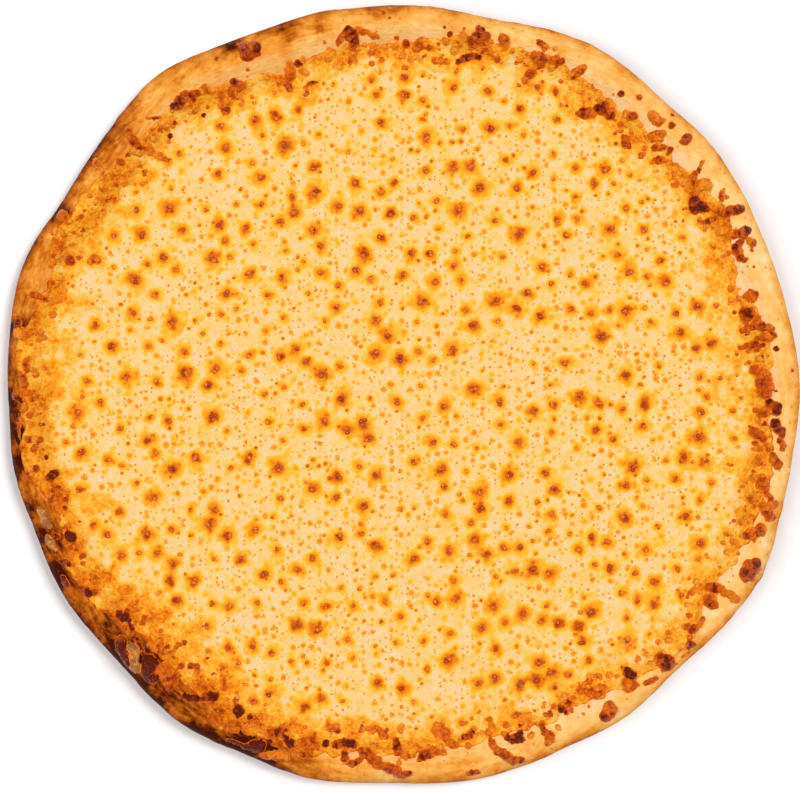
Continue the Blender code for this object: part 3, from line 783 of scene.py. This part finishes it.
# Browned strands and crags at the edge of the cheese. Each row has its angle, inset in mm,
# length and width in mm, turn from the run of the rim in degrees, and percent of darkness
strandLook = {
    "strands": (
        (338.5,10,9.5,4.5,-45,70), (342,6.5,7,3.5,50,75), (343,7.5,8,3.5,-70,70), (344.5,8,6,2.5,45,75),
        (346,11,7,3.5,50,75), (349.5,13.5,5.5,3,50,65), (350,8,7.5,3.5,45,75), (352.5,6.5,6,2.5,30,75),
        (353.5,15.5,6.5,4,65,75), (355,8.8,8.5,3.5,30,90), (357,14,6,2.5,-60,70), (358,11,7.5,4.5,35,95),
        (2,15,14.5,5,15,75), (8,17.5,9.5,2.5,90,75), (9,11.5,8,3.5,-85,75), (10.5,12,8.5,3,70,70),
        (11,16.5,8,3,-70,70), (13,16.5,5.5,4.5,0,85), (16,13,5.5,4,-80,65), (22.5,12,6.5,3,5,80),
        (23.5,6.5,4,3,20,65), (24,11.5,7,3,-55,80), (25.5,8.5,8,3.5,85,85), (26,12,5.5,2.5,85,60),
        (29,6,6.5,3.5,75,85), (29.5,10.5,8.5,3.5,80,75), (29.5,16.5,8,2.5,80,75), (31.5,8.5,4.5,1.5,60,65),
        (32,9,6,2,-45,70), (32.5,18,8,5,20,85), (35,13,6.5,4.5,65,50), (36.5,14,8.5,2.5,-45,75),
        (37.5,9.5,6,1.5,-60,65), (42,7,5.5,3,80,75), (42.5,19,6,2.5,55,65), (44,15.5,6,2.5,50,70),
        (45.5,13,7.5,3.5,40,65), (47.5,9,8,4.5,15,55), (48.5,22,6.5,3.5,-30,85), (50.5,13.5,4,3,0,85),
        (54.5,18.5,8,5,5,90), (57,24.5,7.5,4.5,35,75), (61.5,12.5,7.5,3.5,70,75), (65.5,12,6.5,3,5,75),
        (68,13,8,4.5,5,75), (68.5,7.5,4,2.5,-25,80), (68.5,20,6.5,3.5,70,70), (74,9,6.5,3,-35,65),
        (78,6.5,4.5,2.5,-15,95), (78,10,9.5,4.5,30,80), (79,17,10,3,25,85), (83.5,20.5,7.5,2.5,0,60),
        (86.5,16,7.5,3,-15,60), (93.5,3,5.5,1.5,-40,75), (95,12,6.5,2,-25,60), (96.5,10.5,6,2.5,-15,65),
        (98,12.5,8,4.5,-70,85), (98,16,6,3,75,70), (98.5,19,6,2.5,65,60), (106.5,27,6,3.5,10,75),
        (109.5,20,5.5,3.5,70,60), (110.5,23.5,6,3,-75,75), (118,17.5,6,4,-50,75), (100,12.8,5,2.2,46,70),
        (119.5,20,5.5,3,-75,70), (121.5,23,8,4,65,70), (122.5,17,7,1.3,-21,60), (126.5,15,13.5,4.5,-5,85),
        (132,12.5,6,1.2,-32,75), (135.5,23,10,2,-70,50), (136.5,12,11,3,80,75), (143,5,6,2.5,70,60),
        (143.5,8.5,9.5,1.5,50,55), (152,4,6,3.5,75,60), (155,4,6.5,1.5,60,65), (156.5,24.5,7,3,-80,60),
        (158,10,7,2,40,65), (158,16,4.5,3,35,80), (165,10,7.5,3,-80,65), (170,3.5,6,3.5,-30,90),
        (171,6,7.5,4.5,85,50), (178,7.5,9,2.5,15,70), (180.5,4.5,6.5,2.5,65,95), (184.5,5,11.5,1.5,-5,80),
        (193,14.5,5.5,3,-70,95), (199,6.5,9,3.5,10,-5), (202,8,4,2.5,40,95), (203,5.5,8,3,15,-5),
        (203,13,5,3.5,0,100), (206.5,8.5,5.5,2.5,40,95), (209,4.5,6,2.5,0,90), (212,10.5,7.5,3,45,85),
        (218.5,14.5,7,3.5,5,95), (221,13.5,7,2,-15,90), (222.5,6,13,4.5,-25,95), (224,11.5,6.5,1.5,-15,85),
        (224.5,7,12,4.5,-40,-16), (227.5,9,11.5,6,-30,112), (230,12,11.5,6,-10,74),
        (235.5,12.5,9.5,2.5,20,95), (237.5,16,6.5,3.5,15,95), (240,9.5,7,3,-20,65),
        (242.5,8.5,9,2.5,10,55), (242.5,15.5,5,3.5,-30,95), (244.5,4.5,8,1.5,10,105),
        (247,6,9.5,4.5,25,112), (249.5,13.5,7,3.5,15,80), (250,5,7.5,3.5,20,60), (251.5,7,6,3,10,50),
        (251.5,13,8,3,-35,90), (254,13.5,9,3.5,45,65), (260.5,15.5,10,3,10,90), (261,11,7,2.5,-55,80),
        (262.5,9.5,7,2.5,25,80), (264,12.5,5.5,3,-5,80), (264,21,7.5,2,20,60), (266,10,12,3.5,-30,65),
        (266.5,19.5,6.5,2.5,-35,65), (268.5,6.5,9,3.5,-30,75), (269,15,6.5,3,-75,85), (270,5,7.5,2.5,5,80),
        (270.5,12.5,7.5,2.5,-20,60), (274,12.5,10,3.5,15,80), (276,13,6,2.5,-15,65),
        (276.5,20.5,8,4.5,-35,60), (278,16,7,3,-35,65), (280.5,4,6,2.5,-5,85), (281,18,6.5,2.5,25,85),
        (284.5,12.5,7.5,3,-75,70), (286,7.5,10.5,3.5,-50,75), (287.5,4,8,3,-40,80),
        (288,12.5,8.5,3,-25,90), (293,7.5,6,3,45,65), (293,11,7.5,2.5,-85,80), (297,15,5,3,-60,85),
        (298,15,6,3,80,75), (301.5,17.5,6.5,3,-50,60), (303,15,6,3,-40,75), (308,10,6,4,65,65),
        (309,13,5.5,3.5,90,100), (311,5.5,6,3,-10,65), (314.5,7,8,5,-90,85), (314.5,3.5,7,2,-25,60),
        (319,5,4.5,3,-35,85), (321,10,6,3.5,-60,75), (322.5,9,5.5,2.5,5,65), (326,11.5,6,4,55,85),
        (327,12,5,2.5,40,45), (328,14.5,5,3.5,-85,80), (328.5,6.5,7.5,3,-90,60), (328.5,11,7,2.5,65,55)),
    # small round beads of browned cheese: angle, inset and width in mm, percent of darkness
    "dots": (
        (0.5,10.5,1.5,85), (3.5,4,1.9,80), (6,14.5,1.7,95), (7,9,2.1,95), (20,9,1.3,80), (22.5,7.5,1.9,70),
        (42.5,13.5,2.3,85), (45,6.5,2.8,85), (46,3,1.9,75), (51.5,7,2.6,75), (54,10.5,2.8,95),
        (64.5,11,1.9,70), (80.5,7.5,1.7,55), (82.5,10.5,2.5,95), (83.5,8.5,1.5,90), (91,13.5,2.2,75),
        (89.5,15.6,3,90), (92,6.5,1.5,80), (102.5,13,1.5,65), (107.5,17.5,3.2,95), (115.5,14,1.9,60),
        (119,6,1.7,80), (125.5,23,2,100), (130,19,1.9,100), (132,20.5,2,95), (139,13,2.2,80),
        (140.5,12.5,3.2,75), (159.5,6,1.4,60), (257.6,15.2,3,105), (259,20,2.8,80), (190,14,2,95),
        (269.5,9.5,2.2,45), (284,3,1.5,60), (289.5,16,1.5,95), (289.2,13.6,2.4,100), (289.7,19.9,2.8,70),
        (294.7,15.4,2.6,80), (290.5,11,2.3,40), (295,10,2.3,30), (299.5,10.5,1.5,40), (317,3.5,1.9,65),
        (318,3,1.8,75), (321,3,2.3,50), (339.5,9.5,1.7,50)),
    # drops that lie alone on the rim, by the node that each stands for
    "drops": {
        "browned_drop_top": ("topDrop", (114, 8.0, 8.5, 6.5, 10, 90)),
        "browned_drop_right": ("rightDrop", (333, 6.8, 10.5, 6.5, -15, 85)),
        "browned_drop_bottom": ("bottomDrop", (303, 6.6, 8.0, 5.5, 10, 80)),
    },
    "knobsEach": 2.6,
    "knobSizes": (0.75, 1.15),
    # small knobs: number, distance from the cheese's edge and radius in mm, and how dark
    "nubs": 560,
    "nubPlace": (4.2, 2.4),
    "nubRadius": (0.6, 1.5),
    "nubTone": (0.30, 0.85),
    # height of a knob as a share of its width, the most in mm, and gaps under the box's top
    "riseShare": 0.60,
    "mostRise": 2.4,
    "topGaps": (0.0002, 0.0001),
    "buried": 0.0006,
    "outerSink": (0.7, 2.0),
    "columns": 1620,
    "insets": (26.5, 2.0),
    "lines": 50,
    "footHeight": 0.0030,
    "dropGrid": (30, 72),
    "dropMargin": 2.0,
    "dropFootShare": 0.9,
    "dropFootHeight": 0.0050,
    "colours": (
        (0.02, (0.42, 0.145, 0.036)), (0.2, (0.86, 0.36, 0.042)), (0.42, (0.9, 0.28, 0.013)),
        (0.64, (0.76, 0.155, 0.005)), (0.86, (0.46, 0.056, 0.002)), (1, (0.12, 0.01, 0.001))),
}


def strandStains(rows):
    # browned cheese round each strand: three spots along it, a little wider than it is
    rows = np.array(rows, float)
    angle = np.radians(rows[:, 0])
    middleX, middleY = polar(outline(angle) - mm * rows[:, 1], angle)
    run = angle + math.pi / 2 + np.radians(rows[:, 4])
    radius = mm * (0.5 * rows[:, 3] + 3.6)
    strength = 0.85 + 0.5 * (rows[:, 5] / 100)
    spots = []
    for share in (-0.32, 0.0, 0.32):
        x, y = polar(share * mm * rows[:, 2], run)
        spots.append(np.column_stack((middleX + x, middleY + y, radius, strength)))
    return np.concatenate(spots)


def strandKnobs(rows, seed):
    # each strand as a chain of round knobs (x, y, radius, tone): evenly along its length,
    # bent as a parabola, thinner at both ends, each with its own drawn size, shift and tone
    chance = np.random.default_rng(seed)
    chains = []
    for degrees, inset, length, width, turn, tone in rows:
        angle = math.radians(degrees)
        middle = float(outline(np.array(angle))) - mm * inset
        run = angle + math.pi / 2 + math.radians(turn)
        count = 2 + round(strandLook["knobsEach"] * length / width)
        t = np.linspace(-1, 1, count)
        half = mm * width / 2
        forward = t * (mm * length / 2 - 0.7 * half) + 0.15 * half * chance.uniform(-1, 1, count)
        bend = mm * length * chance.uniform(-0.14, 0.14)
        across = bend * (t * t - 0.4) + 0.30 * half * chance.uniform(-1, 1, count)
        x = middle * math.cos(angle) + forward * math.cos(run) - across * math.sin(run)
        y = middle * math.sin(angle) + forward * math.sin(run) + across * math.cos(run)
        radius = half * (1.12 - 0.35 * t * t)
        radius = radius * chance.uniform(*strandLook["knobSizes"], count)
        tones = tone / 100 + chance.uniform(-0.16, 0.16, count)
        chains.append(np.column_stack((x, y, radius, tones)))
    return np.concatenate(chains)


def dotKnobs(rows):
    # one round knob for each row, as (x, y, radius, tone)
    return edgeSpots([(degrees, inset, width / 2, tone / 100) for degrees, inset, width, tone in rows])


def nubKnobs(count, seed):
    # small knobs strewn along the edge of the cheese, as dark as it is browned there
    chance = np.random.default_rng(seed)
    angle = chance.uniform(0, 2 * math.pi, count)
    inset = around(cheeseLook["insets"], angle) + chance.normal(*strandLook["nubPlace"], count)
    x, y = polar(outline(angle) - mm * np.maximum(inset, 4.0), angle)
    tone = around(cheeseLook["bandStrength"], angle) * chance.uniform(*strandLook["nubTone"], count)
    return np.column_stack((x, y, mm * chance.uniform(*strandLook["nubRadius"], count), tone))


def knobField(x, y, knobs):
    # height and darkness of the knobs at each point: a knob is a dome, its rise times
    # (1 - d^2)^0.6 where d is the distance over the radius, bent by noise; the highest dome
    # counts, and it is lighter low down its side
    bend = 1 + 0.20 * softNoise(x, y, 0, 2.1 * mm, 61) + 0.10 * softNoise(x, y, 0, 1.2 * mm, 62)
    height = np.zeros_like(x)
    scorch = np.zeros_like(x)
    room = cadBox[1].z - strandLook["topGaps"][0] - restHeight(knobs[:, 0], knobs[:, 1])
    rises = np.minimum(strandLook["riseShare"] * 2 * knobs[:, 2], mm * strandLook["mostRise"])
    rises = np.minimum(rises, 0.9 * room)
    for knob, rise in zip(knobs, rises):
        near, gap = nearTo(knob, x, y, bend, 1.9)
        full = np.clip(1 - gap * gap, 0.0, 1.0)
        dome = rise * full ** 0.6
        higher = dome > height[near]
        height[near[higher]] = dome[higher]
        scorch[near[higher]] = knob[3] * (0.66 + 0.34 * full[higher] ** 0.5)
    return height, scorch


def raised(x, y, knobs):
    # height over the floor: the knobs on whatever lies below, and buried where none stands
    height, scorch = knobField(x.ravel(), y.ravel(), knobs)
    height = height.reshape(x.shape)
    shown = smoothStep(0.0, 0.3 * mm, height)
    lumps = 0.14 * mm * shown * softNoise(x, y, height, 1.3 * mm, 63)
    z = restHeight(x, y) + height + lumps - strandLook["buried"] * (1 - shown)
    return np.minimum(z, cadBox[1].z - strandLook["topGaps"][1]), scorch


def makeEdge(knobs):
    # a closed ring sheet: lines of constant inset from the inner one outwards, raised where
    # knobs stand, the last two sunk so that the round wall hides them, and two more lines
    # inside the dough that close it underneath
    lines = strandLook["lines"]
    columns = strandLook["columns"]
    angle = fullTurn(columns)[None, :]
    inset = mm * np.linspace(*strandLook["insets"], lines)[:, None]
    x, y = polar(outline(angle) - inset, angle)
    z, scorch = raised(x, y, knobs)
    z[-2:] -= mm * np.array(strandLook["outerSink"])[:, None]
    upper = np.stack((x, y, z), axis=-1)
    foot = np.stack((x[[-2, 0]], y[[-2, 0]], np.full((2, columns), strandLook["footHeight"])), axis=-1)
    points = np.concatenate((upper, foot)).reshape(-1, 3)
    ring = np.arange(lines + 2)[:, None] * columns
    after = np.roll(ring, -1)
    side = np.arange(columns)[None, :]
    beside = (side + 1) % columns
    quads = np.stack((ring + side, after + side, after + beside, ring + beside), axis=-1).reshape(-1, 4)
    none = np.zeros((0, 3), int)
    scorch = np.concatenate((scorch, np.zeros(2 * columns)))
    piece = makePiece("brownedEdge", points, quads, none, strandMaterial, {"scorch": scorch})


def makeDrop(node, name, row, seed):
    # a round patch on a polar grid, raised like the edge over one strand and a few knobs
    # on it, and closed inside the dough
    knobs = strandKnobs([row], seed)
    middleX, middleY = knobs[:, :2].mean(axis=0)
    rings, sides = strandLook["dropGrid"]
    reach = mm * (row[2] / 2 + strandLook["dropMargin"]) * np.linspace(1 / rings, 1, rings)[:, None]
    reach = np.vstack((reach, strandLook["dropFootShare"] * reach[-1:]))
    x, y = polar(reach, fullTurn(sides)[None, :])
    x = middleX + x
    y = middleY + y
    z, scorch = raised(x, y, knobs)
    z[-1] = strandLook["dropFootHeight"]
    top, topScorch = raised(np.array([middleX]), np.array([middleY]), knobs)
    poles = np.array([[middleX, middleY, top[0]], [middleX, middleY, strandLook["dropFootHeight"]]])
    points = np.concatenate((np.stack((x, y, z), axis=-1).reshape(-1, 3), poles))
    quads, fans = tubeFaces(rings + 1, sides)
    scorch = np.concatenate((scorch, topScorch, [0.0]))
    drop = makePiece(name, points, quads, fans, strandMaterial, {"scorch": scorch})
    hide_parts(node)


def makeStrandMaterial():
    # glossy browned cheese by its scorch with noise of two sizes, pitted by small bubbles
    mat = Recipe("brownedCheese")
    fine = mat.noise(0.0012, 3.0, 0.6)
    broad = mat.noise(0.0040, 2.0, 0.5)
    inputs = {"Vector": mat.place(), "Scale": 1 / 0.0014, "Smoothness": 0.3}
    bubbles = mat.node("TexVoronoi", {"feature": "SMOOTH_F1"}, inputs)
    level = mat.attribute("scorch") + (fine - 0.5) * 0.45 + (broad - 0.5) * 0.45 + bubbles * 0.16
    colour = mat.ramp(level, strandLook["colours"])
    relief = fine * 0.6 + mat.noise(0.0022, 3.0) - bubbles * 1.2
    return mat.finish(colour, mat.rise(fine, 0.3, 0.7, 0.14, 0.28), 0.13, relief, 0.0006)


strandMaterial = makeStrandMaterial()
makeCrust()
blisters = makeBlisters()
print(len(blisters), "blisters")
rows = strandLook["strands"]
makeCheese(blisters, strandStains(rows))
makeBeads(blisters)
edgeKnobs = np.concatenate((strandKnobs(rows, 61), dotKnobs(strandLook["dots"]),
                            nubKnobs(strandLook["nubs"], 10)))
print(len(rows), "strands,", len(edgeKnobs), "knobs")
makeEdge(edgeKnobs)
for number, (node, (name, row)) in enumerate(strandLook["drops"].items()):
    makeDrop(node, name, row, 81 + number)
print("food pieces made")

# Floor, light and camera
studio = {
    "floorSize": 12.0,
    "floorDrop": 0.0002,
    "floorColour": (0.95, 0.95, 0.95, 1),
    "skyColour": (1.0, 0.985, 0.96, 1),
    "skyStrength": 0.30,
    # place and size in metres, and power in watts
    "lights": {"keyLight": ((1, 0.52, 2.25), 0.75, 38), "fillLight": ((-1.5, -0.25, 1.95), 1.6, 28)},
    "lens": 85.0,
    # in pixels: width of the pizza and of the photo, and the pizza's middle in it
    "photoSpan": 792.0,
    "photoSize": 800.0,
    "photoMiddle": (403.7, 394.1),
}


def makeFloor():
    half = studio["floorSize"] / 2
    mesh = bpy.data.meshes.new("floor")
    corners = [(-half, -half, 0), (half, -half, 0), (half, half, 0), (-half, half, 0)]
    mesh.from_pydata(corners, [], [(0, 1, 2, 3)])
    floor = addObject("floor", mesh)
    floor.location.z = -studio["floorDrop"]
    mat = Recipe("paleFloor")
    mat.feed(mat.shader, {"Base Color": studio["floorColour"], "Roughness": 0.8})
    mesh.materials.append(mat.material)


def makeLight(name, place, size, power):
    lamp = bpy.data.lights.new(name, "AREA")
    lamp.size = size
    lamp.energy = power
    obj = addObject(name, lamp)
    obj.location = place
    obj.rotation_euler = (-Vector(place)).to_track_quat("-Z", "Y").to_euler()


def makeSky():
    world = bpy.data.worlds.new("studioSky")
    world.use_nodes = True
    sky = world.node_tree.nodes["Background"]
    sky.inputs["Color"].default_value = studio["skyColour"]
    sky.inputs["Strength"].default_value = studio["skyStrength"]
    bpy.context.scene.world = world


def makeCamera():
    # straight above, at the distance where the pizza's width spans as much as in the photo
    data = bpy.data.cameras.new("camera")
    data.lens = studio["lens"]
    camera = addObject("camera", data)
    pixel = (crustHigh.x - crustLow.x) / studio["photoSpan"]
    distance = pixel * studio["photoSize"] * data.lens / data.sensor_width
    middle = studio["photoSize"] / 2
    offsetX = (middle - studio["photoMiddle"][0]) * pixel
    offsetY = (studio["photoMiddle"][1] - middle) * pixel
    camera.location = (offsetX, offsetY, distance + pizza["waistHeight"])
    bpy.context.scene.camera = camera


makeFloor()
makeSky()
for name, (place, lampSize, power) in studio["lights"].items():
    makeLight(name, place, lampSize, power)
makeCamera()
bpy.context.scene.view_settings.view_transform = "Standard"
print("floor, light and camera made")
